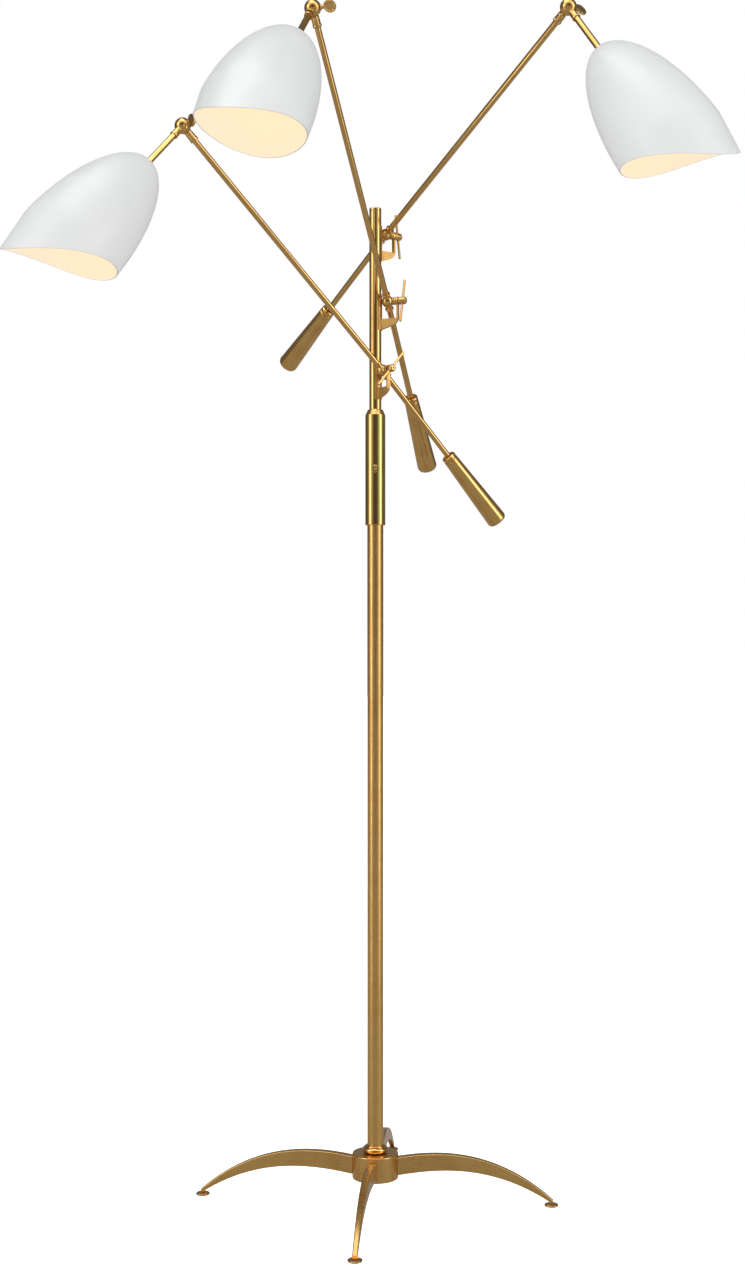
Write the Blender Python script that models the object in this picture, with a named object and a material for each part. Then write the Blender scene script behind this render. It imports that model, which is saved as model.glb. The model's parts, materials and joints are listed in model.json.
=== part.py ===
"""Adjustable floor lamp: a four-legged stand, a sliding mast, and three counterbalanced arms.

Units are metres, +Z is up and the floor is Z = 0. The column stands at (COLUMN_X, COLUMN_Y), so that
the origin is at the bottom centre of the whole lamp's box. Each moving piece hangs under an empty whose
local Z or X axis is the piece's joint axis.
"""

import math

import bmesh
import bpy
from mathutils import Matrix

# ---------------------------------------------------------------- driving dimensions
COLUMN_X, COLUMN_Y = 0.0160, 0.1561  # puts the origin at the box's bottom centre
GAP = 0.0003  # between pieces that touch
BORE_GAP = 0.0004  # round a shaft in its bore

# stand
LEG_COUNT = 4
LEG_TURN = math.radians(-6)
LEG_REACH = 0.278  # column axis to the centre of a foot
LEG_ROOT_WIDTH, LEG_TIP_WIDTH = 0.015, 0.008
LEG_EDGE = 0.0018
LEG_STEPS = 9
FOOT_RADIUS, FOOT_HEIGHT = 0.011, 0.004
HUB_RADIUS, HUB_HEIGHT, HUB_BOTTOM = 0.0365, 0.040, 0.036
HUB_TOP = HUB_BOTTOM + HUB_HEIGHT
HUB_SOCKET_DEPTH = 0.026
HUB_COUNTERBORE, HUB_COUNTERBORE_DEPTH = 0.0135, 0.009
RING_RADIUS, RING_HEIGHT = 0.0202, 0.012
TIE_RADIUS, TIE_HEAD_RADIUS, TIE_HEAD_HEIGHT = 0.005, 0.010, 0.006
TIE_LENGTH = 0.040
GLAND_RADIUS, GLAND_BORE, GLAND_FLANGE = 0.0042, 0.0030, 0.0062
GLAND_ANGLE = math.radians(129)
GLAND_HEIGHT = HUB_BOTTOM + 0.0125

# column
LOWER_TUBE_RADIUS, LOWER_TUBE_WALL = 0.0127, 0.0015
UPPER_TUBE_RADIUS, UPPER_TUBE_WALL = 0.009525, 0.0012
SLEEVE_RADIUS, SLEEVE_BOTTOM, SLEEVE_TOP = 0.015875, 1.071, 1.254
SLEEVE_CONE = 0.0075
LOWER_TUBE_TOP = 1.200
UPPER_TUBE_BOTTOM, MAST_TOP = 0.840, 1.574
GUIDE_LENGTH = 0.030
HEIGHT_SCREW_Z, HEIGHT_SCREW_RADIUS, HEIGHT_SCREW_HEAD = 1.159, 0.0024, 0.0062

# arms
TUBE_RADIUS, TUBE_WALL = 0.0046, 0.0009
SOCKET_RADIUS = TUBE_RADIUS + 0.0003
PIVOT_TOP, PIVOT_STEP = 1.535, 0.1105
PIVOT_OFFSET = 0.0207  # column axis to the middle of a knuckle
ARM_LENGTH = 0.480  # pivot to the ball joint
WEIGHT_END = 0.322  # pivot to the far end of the counterweight
WEIGHT_LENGTH = 0.143
ROD_SET = math.radians(2)  # the weight's rod is set this much steeper than the arm's tube
KNUCKLE_RADIUS = 0.0093
COLLAR_RADIUS, COLLAR_END, COLLAR_SOCKET = 0.0062, 0.0145, 0.0060
PIN_RADIUS = 0.0024
BRACKET_THICKNESS = 0.006
BRACKET_TOP, BRACKET_BOTTOM = -0.027, -0.044
CLAMP_LEG_INNER, CLAMP_LEG_OUTER = 0.0360, 0.0390
T_BAR_RADIUS, T_BAR_LENGTH, T_BAR_AT = 0.0019, 0.073, 0.0455
T_HEAD_RADIUS, T_HEAD_END = 0.0060, 0.0520

# heads
BALL_RADIUS = 0.012
SEAM = 0.00015  # half the gap between the halves of a ball
HALF_CLEARANCE = 0.00035
ARM_NECK_END, HEAD_NECK_END = 0.0275, 0.0240
SHADE_TOP = 0.090  # ball joint to the top of the shade
SHADE_LENGTH, SHADE_RADIUS, DOME_LENGTH = 0.213, 0.075, 0.198
SKIRT_TAPER = 0.137  # the skirt narrows by this much of its length
MOUTH_SLOPE = 0.765  # the mouth is cut obliquely
MOUTH_HOLLOW = 0.0173  # and is hollowed by this much at its sides
SHADE_WALL = 0.0012
HOLDER_END = 0.056
BULB_RADIUS, BULB_END, BULB_WALL = 0.030, 0.140, 0.0010

SMALL_SEGMENTS = 14
TUBE_SEGMENTS = 16
ROUND_SEGMENTS = 24
HUB_SEGMENTS = 40
SHADE_SEGMENTS = 26

# Each arm: its bracket's direction, the arm's rise, the head's turn about the arm, the bend from arm to
# stem, the shade's turn about the stem, the T-handle's lean and the wing screw's turn, in degrees.
ARMS = {
    "top": {"bracket": 38.0, "rise": 30.3, "twist": 6.4, "bend": 84.5, "turn": 8.1, "lean": 8.5, "wing": 0.0},
    "middle": {"bracket": -19.1, "rise": 46.8, "twist": -1.5, "bend": 93.8, "turn": -6.3, "lean": 18.0, "wing": 90.0},
    "bottom": {"bracket": -57.0, "rise": 43.1, "twist": 5.8, "bend": 90.5, "turn": -16.9, "lean": 41.0, "wing": 50.0},
}

BRASS = ("brass", (0.50, 0.30, 0.10), 1.0, 0.28)
WHITE = ("white_enamel", (0.86, 0.86, 0.84), 0.0, 0.35)
CREAM = ("cream_ceramic", (0.80, 0.76, 0.66), 0.0, 0.4)
NYLON = ("nylon", (0.06, 0.06, 0.06), 0.0, 0.5)
OPAL = ("opal_glass", (0.90, 0.88, 0.82), 0.0, 0.2)

Z_TO_X = Matrix.Rotation(math.pi / 2, 4, "Y")


# ---------------------------------------------------------------- helpers
def clear_scene():
    for obj in list(bpy.data.objects):
        bpy.data.objects.remove(obj)


def finish_of(kind):
    """The material of this kind, made once."""
    name, colour, metallic, roughness = kind
    found = bpy.data.materials.get(name)
    if found:
        return found
    made = bpy.data.materials.new(name)
    made.use_nodes = True
    shader = made.node_tree.nodes["Principled BSDF"]
    shader.inputs["Base Color"].default_value = (*colour, 1.0)
    shader.inputs["Metallic"].default_value = metallic
    shader.inputs["Roughness"].default_value = roughness
    return made


def place(obj, parent, location, rotation):
    obj.parent = parent
    obj.location = location
    obj.rotation_euler = rotation
    bpy.context.scene.collection.objects.link(obj)
    return obj


def pivot(name, parent, location=(0, 0, 0), rotation=(0, 0, 0)):
    return place(bpy.data.objects.new(name, None), parent, location, rotation)


def solid(name, shape, kind, parent, location=(0, 0, 0), rotation=(0, 0, 0)):
    """A named object from a bmesh, shaded smooth between edges of under 35 degrees."""
    bmesh.ops.recalc_face_normals(shape, faces=shape.faces)
    mesh = bpy.data.meshes.new(name)
    shape.to_mesh(mesh)
    shape.free()
    mesh.shade_smooth()
    mesh.set_sharp_from_angle(angle=math.radians(35))
    mesh.materials.append(finish_of(kind))
    return place(bpy.data.objects.new(name, mesh), parent, location, rotation)


def combine(obj, shape, operation, label):
    """Adds a Boolean of obj with a helper solid, which shares obj's frame."""
    helper = solid(f"{obj.name}_{label}", shape, BRASS, obj)
    helper.hide_render = True
    helper.display_type = "WIRE"
    modifier = obj.modifiers.new(label, "BOOLEAN")
    modifier.operation = operation
    modifier.solver = "EXACT"
    modifier.object = helper


def arc(centre, radius, first, last, steps):
    """Points of an arc, from first to last degrees, about centre in the (radius, height) plane."""
    angles = [math.radians(first + (last - first) * i / steps) for i in range(steps + 1)]
    return [(centre[0] + radius * math.cos(a), centre[1] + radius * math.sin(a)) for a in angles]


def lathe(outline, segments, matrix=None):
    """The closed outline of (radius, height) points, turned about Z. Points at radius 0 lie on the axis."""
    shape = bmesh.new()
    rings = []
    for radius, height in outline:
        if radius < 1e-6:
            rings.append([shape.verts.new((0, 0, height))] * segments)
            continue
        angles = [2 * math.pi * i / segments for i in range(segments)]
        rings.append([shape.verts.new((radius * math.cos(a), radius * math.sin(a), height)) for a in angles])
    for first, second in zip(rings, rings[1:] + rings[:1]):
        for i in range(segments):
            j = (i + 1) % segments
            corners = list(dict.fromkeys((first[i], first[j], second[j], second[i])))
            if len(corners) > 2:
                shape.faces.new(corners)
    if matrix:
        bmesh.ops.transform(shape, matrix=matrix, verts=shape.verts)
    return shape


def rod(radius, start, end, segments, matrix=None):
    return lathe([(0, start), (radius, start), (radius, end), (0, end)], segments, matrix)


def tube(radius, wall, start, end, segments):
    inner = radius - wall
    return lathe([(inner, start), (radius, start), (radius, end), (inner, end)], segments)


def ball(radius, segments, rings, matrix=None):
    points = arc((0, 0), radius, -90, 90, rings)
    points[0], points[-1] = (0, -radius), (0, radius)
    return lathe(points, segments, matrix)


def loft(sections):
    """A closed solid through sections, which are loops with the same number of points."""
    shape = bmesh.new()
    loops = [[shape.verts.new(point) for point in section] for section in sections]
    count = len(sections[0])
    for first, second in zip(loops, loops[1:]):
        for i in range(count):
            j = (i + 1) % count
            shape.faces.new((first[i], first[j], second[j], second[i]))
    shape.faces.new(loops[0])
    shape.faces.new(loops[-1])
    return shape


def bezier(ends, t):
    """The point at t on the cubic with these four (x, z) control points."""
    weights = ((1 - t) ** 3, 3 * t * (1 - t) ** 2, 3 * t * t * (1 - t), t**3)
    return tuple(sum(w * p[axis] for w, p in zip(weights, ends)) for axis in (0, 1))


# ---------------------------------------------------------------- stand
def leg_shape():
    """A leg that points along +X: arched, and tapering in depth and width to its tip."""
    start = HUB_RADIUS - 0.005
    tip = LEG_REACH + 0.003
    top = (
        (start, HUB_BOTTOM + 0.033),
        (0.112, HUB_BOTTOM + 0.050),
        (0.198, HUB_BOTTOM + 0.045),
        (tip, FOOT_HEIGHT + 0.0055),
    )
    underside = (
        (start, HUB_BOTTOM + 0.005),
        (0.110, HUB_BOTTOM + 0.021),
        (0.190, HUB_BOTTOM + 0.025),
        (tip - 0.002, FOOT_HEIGHT + GAP),
    )
    sections = []
    for step in range(LEG_STEPS + 1):
        t = step / LEG_STEPS
        upper, lower = bezier(top, t), bezier(underside, t)
        half = (LEG_ROOT_WIDTH + (LEG_TIP_WIDTH - LEG_ROOT_WIDTH) * t) / 2
        sections.append(
            [
                (upper[0], -half, upper[1]),
                (upper[0], half, upper[1]),
                (lower[0], half, lower[1]),
                (lower[0], -half, lower[1]),
            ]
        )
    return loft(sections)


def make_legs(lamp):
    names = ("right", "back", "left", "front")
    for index, name in enumerate(names[:LEG_COUNT]):
        angle = LEG_TURN + index * 2 * math.pi / LEG_COUNT
        leg = solid(f"{name}_leg", leg_shape(), BRASS, lamp, rotation=(0, 0, angle))
        edge = leg.modifiers.new("edges", "BEVEL")
        edge.width = LEG_EDGE
        edge.segments = 1
        edge.limit_method = "ANGLE"
        edge.angle_limit = math.radians(50)
        clearance = rod(HUB_RADIUS + GAP, 0, HUB_TOP + 0.01, HUB_SEGMENTS)
        combine(leg, clearance, "DIFFERENCE", "hub_clearance")
        outline = [
            (0, 0),
            (FOOT_RADIUS - 0.0008, 0),
            (FOOT_RADIUS, 0.0010),
            (FOOT_RADIUS, FOOT_HEIGHT - 0.0015),
            (FOOT_RADIUS - 0.002, FOOT_HEIGHT),
            (0, FOOT_HEIGHT),
        ]
        spot = (LEG_REACH * math.cos(angle), LEG_REACH * math.sin(angle), 0)
        solid(f"{name}_foot", lathe(outline, TUBE_SEGMENTS), BRASS, lamp, spot)


def make_hub(lamp):
    edge = 0.0015
    tie_bore = TIE_RADIUS + BORE_GAP
    socket = LOWER_TUBE_RADIUS + GAP
    ceiling = HUB_BOTTOM + HUB_COUNTERBORE_DEPTH
    outline = [
        (HUB_COUNTERBORE, HUB_BOTTOM),
        (HUB_RADIUS - edge, HUB_BOTTOM),
        (HUB_RADIUS, HUB_BOTTOM + edge),
        (HUB_RADIUS, HUB_TOP - edge),
        (HUB_RADIUS - edge, HUB_TOP),
        (socket, HUB_TOP),
        (socket, HUB_TOP - HUB_SOCKET_DEPTH),
        (tie_bore, HUB_TOP - HUB_SOCKET_DEPTH),
        (tie_bore, ceiling),
        (HUB_COUNTERBORE, ceiling),
    ]
    hub = solid("hub", lathe(outline, HUB_SEGMENTS), BRASS, lamp)
    gland_frame = (
        Matrix.Translation((0, 0, GLAND_HEIGHT)) @ Matrix.Rotation(GLAND_ANGLE, 4, "Z") @ Z_TO_X
    )
    hole = rod(GLAND_RADIUS + GAP, HUB_COUNTERBORE + 0.010, HUB_RADIUS + 0.01, SMALL_SEGMENTS, gland_frame)
    combine(hub, hole, "DIFFERENCE", "gland_hole")

    face = HUB_RADIUS + GAP
    gland = [
        (GLAND_BORE, HUB_RADIUS - 0.009),
        (GLAND_RADIUS, HUB_RADIUS - 0.009),
        (GLAND_RADIUS, face),
        (GLAND_FLANGE, face),
        (GLAND_FLANGE, face + 0.0015),
        (GLAND_RADIUS + 0.0006, face + 0.003),
        (GLAND_BORE, face + 0.003),
    ]
    solid("cord_gland", lathe(gland, SMALL_SEGMENTS, gland_frame), NYLON, lamp)

    head_bottom = ceiling - GAP - TIE_HEAD_HEIGHT
    tie_head = lathe(
        [(0, head_bottom), (TIE_HEAD_RADIUS, head_bottom), (TIE_HEAD_RADIUS, ceiling - GAP),
         (TIE_RADIUS, ceiling - GAP), (TIE_RADIUS, head_bottom + TIE_LENGTH), (0, head_bottom + TIE_LENGTH)],
        6,
    )
    solid("tie_bolt", tie_head, BRASS, lamp)

    bead = RING_HEIGHT / 2
    middle = HUB_TOP + GAP + bead
    inner = LOWER_TUBE_RADIUS + GAP
    ring = [(inner, middle - bead), *arc((RING_RADIUS - bead, middle), bead, -90, 90, 8), (inner, middle + bead)]
    solid("column_ring", lathe(ring, ROUND_SEGMENTS), BRASS, lamp)


def make_column(lamp):
    start = HUB_TOP - HUB_SOCKET_DEPTH + GAP
    lower = tube(LOWER_TUBE_RADIUS, LOWER_TUBE_WALL, start, LOWER_TUBE_TOP, ROUND_SEGMENTS)
    lower_tube = solid("lower_tube", lower, BRASS, lamp)
    wide, narrow = LOWER_TUBE_RADIUS + GAP, UPPER_TUBE_RADIUS + BORE_GAP
    shoulder = LOWER_TUBE_TOP + GAP
    outline = [
        (wide, SLEEVE_BOTTOM),
        (SLEEVE_RADIUS - 0.0005, SLEEVE_BOTTOM),
        (SLEEVE_RADIUS, SLEEVE_BOTTOM + 0.0005),
        (SLEEVE_RADIUS, SLEEVE_TOP - SLEEVE_CONE),
        (narrow + 0.0022, SLEEVE_TOP),
        (narrow, SLEEVE_TOP),
        (narrow, shoulder),
        (wide, shoulder),
    ]
    sleeve = solid("sleeve", lathe(outline, ROUND_SEGMENTS), BRASS, lamp)
    towards_front = Matrix.Translation((0, 0, HEIGHT_SCREW_Z)) @ Matrix.Rotation(math.pi / 2, 4, "X")
    for holder in (lower_tube, sleeve):
        hole = rod(HEIGHT_SCREW_RADIUS + GAP, 0.003, 0.03, SMALL_SEGMENTS, towards_front)
        combine(holder, hole, "DIFFERENCE", "screw_hole")


def make_height_screw(lamp):
    """The thumb screw that holds the mast's height. Its local Z points out of the sleeve."""
    axis = pivot("height_screw_axis", lamp, (0, 0, HEIGHT_SCREW_Z), (math.pi / 2, 0, 0))
    tip, face = UPPER_TUBE_RADIUS + BORE_GAP, SLEEVE_RADIUS + GAP
    outline = [
        (0, tip),
        (HEIGHT_SCREW_RADIUS, tip),
        (HEIGHT_SCREW_RADIUS, face),
        (HEIGHT_SCREW_HEAD - 0.0006, face),
        (HEIGHT_SCREW_HEAD, face + 0.0006),
        (HEIGHT_SCREW_HEAD, face + 0.0046),
        (HEIGHT_SCREW_HEAD - 0.0010, face + 0.0056),
        (0.0020, face + 0.0062),
        (0.0016, face + 0.0054),
        (0, face + 0.0054),
    ]
    solid("height_screw", lathe(outline, TUBE_SEGMENTS), BRASS, axis)


def make_mast(mast):
    """The sliding upper tube. The guide bush at its foot runs in the lower tube."""
    cap_start = MAST_TOP - 0.0050
    upper = tube(UPPER_TUBE_RADIUS, UPPER_TUBE_WALL, UPPER_TUBE_BOTTOM, cap_start - GAP, ROUND_SEGMENTS)
    solid("upper_tube", upper, BRASS, mast)
    plug = UPPER_TUBE_RADIUS - UPPER_TUBE_WALL - GAP
    cap = [
        (0, cap_start - 0.010),
        (plug, cap_start - 0.010),
        (plug, cap_start),
        (UPPER_TUBE_RADIUS, cap_start),
        *arc((UPPER_TUBE_RADIUS - 0.0022, MAST_TOP - 0.0022), 0.0022, 0, 90, 3),
        (0, MAST_TOP),
    ]
    solid("top_cap", lathe(cap, ROUND_SEGMENTS), BRASS, mast)
    inner = UPPER_TUBE_RADIUS + GAP
    outer = LOWER_TUBE_RADIUS - LOWER_TUBE_WALL - GAP
    bush = tube(outer, outer - inner, UPPER_TUBE_BOTTOM, UPPER_TUBE_BOTTOM + GUIDE_LENGTH, ROUND_SEGMENTS)
    solid("guide_bush", bush, NYLON, mast)


# ---------------------------------------------------------------- arms
def make_bracket(name, seat):
    """The J-shaped plate that carries a knuckle, with its saddle on the mast and the clamp leg's head."""
    inner, outer = UPPER_TUBE_RADIUS + GAP, UPPER_TUBE_RADIUS + 0.0014
    half = BRACKET_THICKNESS / 2
    middle = (inner + outer) / 2
    outline = (
        (middle, BRACKET_BOTTOM),
        (0.0290, BRACKET_BOTTOM + 0.0060),
        (0.0355, BRACKET_BOTTOM + 0.0100),
        (CLAMP_LEG_OUTER, BRACKET_BOTTOM + 0.0160),
        (CLAMP_LEG_OUTER, 0),
        (CLAMP_LEG_INNER, 0),
        (CLAMP_LEG_INNER, BRACKET_TOP),
        (middle, BRACKET_TOP),
    )
    plate = loft([[(x, side, z) for x, z in outline] for side in (-half, half)])
    bracket = solid(f"{name}_bracket", plate, BRASS, seat)
    spread = 40
    loop = arc((0, 0), inner, -spread, spread, 6) + arc((0, 0), outer, spread, -spread, 6)
    saddle = loft([[(x, y, z) for x, y in loop] for z in (BRACKET_BOTTOM - 0.0005, 0.0110)])
    combine(bracket, saddle, "UNION", "saddle")
    head = rod(0.0066, CLAMP_LEG_INNER, CLAMP_LEG_OUTER, TUBE_SEGMENTS, Z_TO_X)
    combine(bracket, head, "UNION", "leg_head")
    hole = rod(PIN_RADIUS + GAP, 0.030, 0.045, SMALL_SEGMENTS, Z_TO_X)
    combine(bracket, hole, "DIFFERENCE", "screw_hole")

    ring_hole = PIN_RADIUS + GAP
    spacer = [
        (ring_hole, 0.0304),
        (COLLAR_RADIUS, 0.0283),
        (COLLAR_RADIUS, CLAMP_LEG_INNER - GAP),
        (ring_hole, CLAMP_LEG_INNER - GAP),
    ]
    solid(f"{name}_clamp_ring", lathe(spacer, TUBE_SEGMENTS, Z_TO_X), BRASS, seat)


def make_t_handle(name, seat, lean):
    """The clamp screw. Its local Z is the arm's tilt axis, and its shank is the knuckle's pin."""
    turn = Matrix.Rotation(-lean, 4, "X") @ Z_TO_X
    face = CLAMP_LEG_OUTER + GAP
    outline = [
        (0, 0.0140),
        (PIN_RADIUS, 0.0140),
        (PIN_RADIUS, face),
        (T_HEAD_RADIUS - 0.0006, face),
        (T_HEAD_RADIUS, face + 0.0006),
        (T_HEAD_RADIUS, T_HEAD_END - 0.0026),
        (T_HEAD_RADIUS - 0.0011, T_HEAD_END - 0.0006),
        (T_HEAD_RADIUS - 0.0027, T_HEAD_END),
        (0.0015, T_HEAD_END),
        (0.0015, T_HEAD_END - 0.0020),
        (0, T_HEAD_END - 0.0020),
    ]
    handle = solid(f"{name}_t_handle", lathe(outline, SMALL_SEGMENTS), BRASS, seat, rotation=turn.to_euler())
    half = T_BAR_LENGTH / 2
    rim = T_BAR_RADIUS - 0.0006
    bar = [(0, -half), (rim, -half), (T_BAR_RADIUS, 0.0008 - half),
           (T_BAR_RADIUS, half - 0.0008), (rim, half), (0, half)]
    crosswise = Matrix.Translation((0, 0, T_BAR_AT)) @ Z_TO_X
    combine(handle, lathe(bar, 10, crosswise), "UNION", "bar")


def make_arm(name, arm):
    """The tilting pieces. The arm's tube runs along +Z of its pivot and the weight's rod along -Z."""
    bottom = COLLAR_END - COLLAR_SOCKET
    neck = math.degrees(math.acos(COLLAR_RADIUS / KNUCKLE_RADIUS))
    rod_socket = SOCKET_RADIUS + COLLAR_END * math.tan(ROD_SET)
    outline = [
        (0, -bottom),
        (rod_socket, -bottom),
        (rod_socket, -COLLAR_END),
        (COLLAR_RADIUS, -COLLAR_END),
        *arc((0, 0), KNUCKLE_RADIUS, -neck, neck, 7),
        (COLLAR_RADIUS, COLLAR_END),
        (SOCKET_RADIUS, COLLAR_END),
        (SOCKET_RADIUS, bottom),
        (0, bottom),
    ]
    knuckle = solid(f"{name}_knuckle", lathe(outline, TUBE_SEGMENTS), BRASS, arm)
    pin_hole = rod(PIN_RADIUS + GAP, -0.0080, 0.02, SMALL_SEGMENTS, Z_TO_X)
    combine(knuckle, pin_hole, "DIFFERENCE", "pin_hole")

    start = bottom + GAP
    tube_end = ARM_LENGTH - ARM_NECK_END + 0.008 - GAP
    solid(f"{name}_arm_tube", tube(TUBE_RADIUS, TUBE_WALL, start, tube_end, TUBE_SEGMENTS), BRASS, arm)

    balance = pivot(f"{name}_balance", arm, rotation=(-ROD_SET, 0, 0))
    near = WEIGHT_END - WEIGHT_LENGTH
    socket = near + 0.020
    rod_mesh = rod(TUBE_RADIUS, GAP - socket, -start - GAP, TUBE_SEGMENTS)
    solid(f"{name}_weight_rod", rod_mesh, BRASS, balance)
    weight = [
        (0, -WEIGHT_END),
        (0.0130, -WEIGHT_END),
        (0.0153, 0.0012 - WEIGHT_END),
        (0.01625, 0.0042 - WEIGHT_END),
        (0.01140, -near - 0.0085),
        (0.01030, -near - 0.0080),
        (0.01030, -near - 0.0066),
        (0.01140, -near - 0.0061),
        (0.01140, -near - 0.0018),
        (0.00980, -near),
        (SOCKET_RADIUS, -near),
        (SOCKET_RADIUS, -socket),
        (0, -socket),
    ]
    solid(f"{name}_counterweight", lathe(weight, 20), BRASS, balance)


# ---------------------------------------------------------------- heads
def half_ball(name, parent, side, neck_outline):
    """Half of the split ball with its neck. The neck is round, and clears the other half."""
    half = solid(name, ball(BALL_RADIUS, TUBE_SEGMENTS, 10, Z_TO_X), BRASS, parent)
    combine(half, lathe(neck_outline, SMALL_SEGMENTS), "UNION", "neck")
    reach = BALL_RADIUS + HALF_CLEARANCE
    other = [(0, -side * SEAM), (reach, -side * SEAM), *arc((0, 0), reach, 0, side * 90, 5)[1:-1], (0, side * reach)]
    combine(half, lathe(other, TUBE_SEGMENTS, Z_TO_X), "DIFFERENCE", "other_half")
    return half


def make_ball_joint(name, wrist, head, wing_turn):
    hole = PIN_RADIUS + 0.0005
    arm_neck = [
        (0, -0.0060),
        (0, -0.0195),
        (SOCKET_RADIUS, -0.0195),
        (SOCKET_RADIUS, -ARM_NECK_END),
        (0.0060, -ARM_NECK_END),
        (0.0066, -ARM_NECK_END + 0.0010),
        (0.0066, -0.0060),
    ]
    arm_half = half_ball(f"{name}_ball_arm_half", wrist, 1, arm_neck)
    combine(arm_half, rod(hole, -0.0085, 0.02, SMALL_SEGMENTS, Z_TO_X), "DIFFERENCE", "screw_hole")
    head_neck = [
        (0, 0.0060),
        (0, 0.0180),
        (SOCKET_RADIUS, 0.0180),
        (SOCKET_RADIUS, HEAD_NECK_END),
        (0.0057, HEAD_NECK_END),
        (0.0062, HEAD_NECK_END - 0.0010),
        (0.0062, 0.0060),
    ]
    head_half = half_ball(f"{name}_ball_head_half", head, -1, head_neck)
    combine(head_half, rod(hole, -0.02, 0.02, SMALL_SEGMENTS, Z_TO_X), "DIFFERENCE", "screw_hole")

    turn = Matrix.Rotation(wing_turn, 4, "X") @ Z_TO_X
    shank = [
        (0, -0.0080),
        (PIN_RADIUS, -0.0080),
        (PIN_RADIUS, BALL_RADIUS + GAP),
        (0.0036, BALL_RADIUS + GAP),
        (0.0030, BALL_RADIUS + 0.0020),
        (0.0027, 0.0190),
        (0, 0.0190),
    ]
    wing = solid(f"{name}_wing_screw", lathe(shank, SMALL_SEGMENTS), BRASS, wrist, rotation=turn.to_euler())
    radius, half_thick, rim = 0.0092, 0.0016, 0.0007
    paddle = [
        (0, -half_thick),
        (radius - rim, -half_thick),
        (radius, rim - half_thick),
        (radius, half_thick - rim),
        (radius - rim, half_thick),
        (0, half_thick),
    ]
    flat = Matrix.Translation((0, 0, 0.0258)) @ Z_TO_X
    combine(wing, lathe(paddle, TUBE_SEGMENTS, flat), "UNION", "paddle")


def shade_outline_radius(distance, radius, dome):
    """The shade's radius at a distance from its top: half an ellipse, and then a straight, narrowing skirt."""
    if distance >= dome:
        return radius - SKIRT_TAPER * (distance - dome)
    return radius * math.sqrt(1 - (1 - distance / dome) ** 2)


def shade_surface(shape, inset, hole):
    """The rings of one surface of the shade, from the hole at its top down to its oblique mouth."""
    radius, dome = SHADE_RADIUS - inset, DOME_LENGTH - inset
    first = dome * (1 - math.sqrt(1 - (hole / radius) ** 2))
    shortest = SHADE_LENGTH + MOUTH_HOLLOW - MOUTH_SLOPE * SHADE_RADIUS - 0.004
    distances = [first]
    for step in range(1, 7):
        distances.append(first + (shortest - first) * (step / 6) ** 1.7)
    rings = []
    for distance in distances:
        rings.append([(shade_outline_radius(distance, radius, dome), distance)] * SHADE_SEGMENTS)
    for share in (0.4, 1.0):
        ring = []
        for i in range(SHADE_SEGMENTS):
            side = math.sin(2 * math.pi * i / SHADE_SEGMENTS)
            middle = SHADE_LENGTH - inset + MOUTH_HOLLOW * side * side
            edge = middle
            for _ in range(6):  # the cut meets the surface where this settles
                edge = middle + MOUTH_SLOPE * side * shade_outline_radius(edge, radius, dome)
            distance = shortest + (edge - shortest) * share
            ring.append((shade_outline_radius(distance, radius, dome), distance))
        rings.append(ring)
    loops = []
    for ring in rings:
        loop = []
        for i, (across, distance) in enumerate(ring):
            angle = 2 * math.pi * i / SHADE_SEGMENTS
            loop.append(
                shape.verts.new((across * math.cos(angle), across * math.sin(angle), distance + inset))
            )
        loops.append(loop)
    return loops


def shade_shape():
    """An open-ended shell whose long side is towards +Y."""
    shape = bmesh.new()
    hole = TUBE_RADIUS + BORE_GAP
    outer = shade_surface(shape, 0.0, hole)
    inner = shade_surface(shape, SHADE_WALL, hole)
    loops = outer + inner[::-1]
    for first, second in zip(loops, loops[1:] + loops[:1]):
        for i in range(SHADE_SEGMENTS):
            j = (i + 1) % SHADE_SEGMENTS
            shape.faces.new((first[i], first[j], second[j], second[i]))
    return shape


def make_head(name, head, shade_axis):
    stem_start = 0.0180 + GAP
    stem_end = SHADE_TOP + 0.014
    solid(f"{name}_stem", tube(TUBE_RADIUS, TUBE_WALL, stem_start, stem_end, TUBE_SEGMENTS), BRASS, head)
    solid(f"{name}_shade", shade_shape(), WHITE, shade_axis)

    cap_top, cup_top = SHADE_TOP + 0.0045, SHADE_TOP + 0.0170
    floor = SHADE_TOP + 0.0230
    holder = [
        (SOCKET_RADIUS, cap_top),
        (0.0085, cap_top),
        (0.0100, cap_top + 0.006),
        (0.0168, cup_top),
        (0.0175, cup_top + 0.002),
        (0.0175, SHADE_TOP + HOLDER_END),
        (0.0142, SHADE_TOP + HOLDER_END),
        (0.0142, floor),
        (SOCKET_RADIUS, floor),
    ]
    solid(f"{name}_lamp_holder", lathe(holder, TUBE_SEGMENTS), CREAM, head)

    centre = (0, SHADE_TOP + BULB_END - BULB_RADIUS)
    neck, base = 0.0130, floor + 0.003
    skin = [
        (neck, base),
        (neck, SHADE_TOP + HOLDER_END),
        (neck + 0.0035, SHADE_TOP + HOLDER_END + 0.006),
        *arc(centre, BULB_RADIUS, -45, 90, 8)[:-1],
        (0, SHADE_TOP + BULB_END),
    ]
    lining = [
        (0, SHADE_TOP + BULB_END - BULB_WALL),
        *arc(centre, BULB_RADIUS - BULB_WALL, 90, -45, 8)[1:],
        (neck + 0.0035 - BULB_WALL, SHADE_TOP + HOLDER_END + 0.006),
        (neck - BULB_WALL, SHADE_TOP + HOLDER_END),
        (neck - BULB_WALL, base),
    ]
    bulb = skin + lining
    solid(f"{name}_bulb", lathe(bulb, TUBE_SEGMENTS), OPAL, head)


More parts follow.
